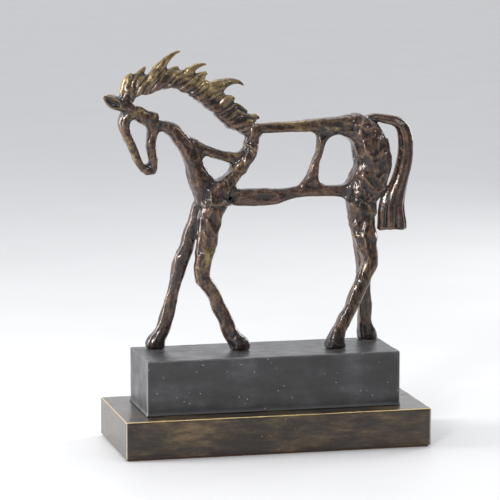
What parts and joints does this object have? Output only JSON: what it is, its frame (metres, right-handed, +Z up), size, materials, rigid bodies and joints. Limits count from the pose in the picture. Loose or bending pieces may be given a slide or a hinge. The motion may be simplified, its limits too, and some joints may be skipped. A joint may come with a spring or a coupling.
{
  "type": "bronze horse statue",
  "caption": "Openwork walking horse in patinated bronze, with a flame-like mane, standing on a stepped two-tier plinth.",
  "frame": {"origin": "centre of the cork's underside, on the surface that the statue stands on", "axes": "+Z up, -X the way the horse walks, -Y its near side"},
  "size_m": [0.35, 0.146, 0.4315],
  "materials": {
    "bronze": "antique brown patina, rubbed to gold on the edges, waxed",
    "upper_plinth": "matte charcoal, pitted",
    "lower_plinth": "mottled brown patina with a gold rubbed edge",
    "board": "hardboard, brown",
    "cork": "pressed cork",
    "steel": "zinc plated"
  },
  "bodies": {
    "root": {"head": "bronze", "near_ear": "bronze", "far_ear": "bronze", "crest": "bronze", "mane_ridge": "bronze", "mane_locks": "bronze", "throat": "bronze", "neck_brace": "bronze", "shoulder": "bronze", "back_bar": "bronze", "flank_bar": "bronze", "belly_bar": "bronze", "haunch": "bronze", "near_foreleg": "bronze", "far_foreleg": "bronze", "near_hind_leg": "bronze", "far_hind_leg": "bronze", "tail": "bronze", "upper_tier": "upper_plinth", "lower_tier": "lower_plinth", "base_panel": "board", "cork_sheet": "cork", "hoof_studs": "steel", "stud_washers": "steel", "stud_nuts": "steel", "tier_screws": "steel", "tier_washers": "steel", "panel_screws": "steel"}
  },
  "joints": []
}
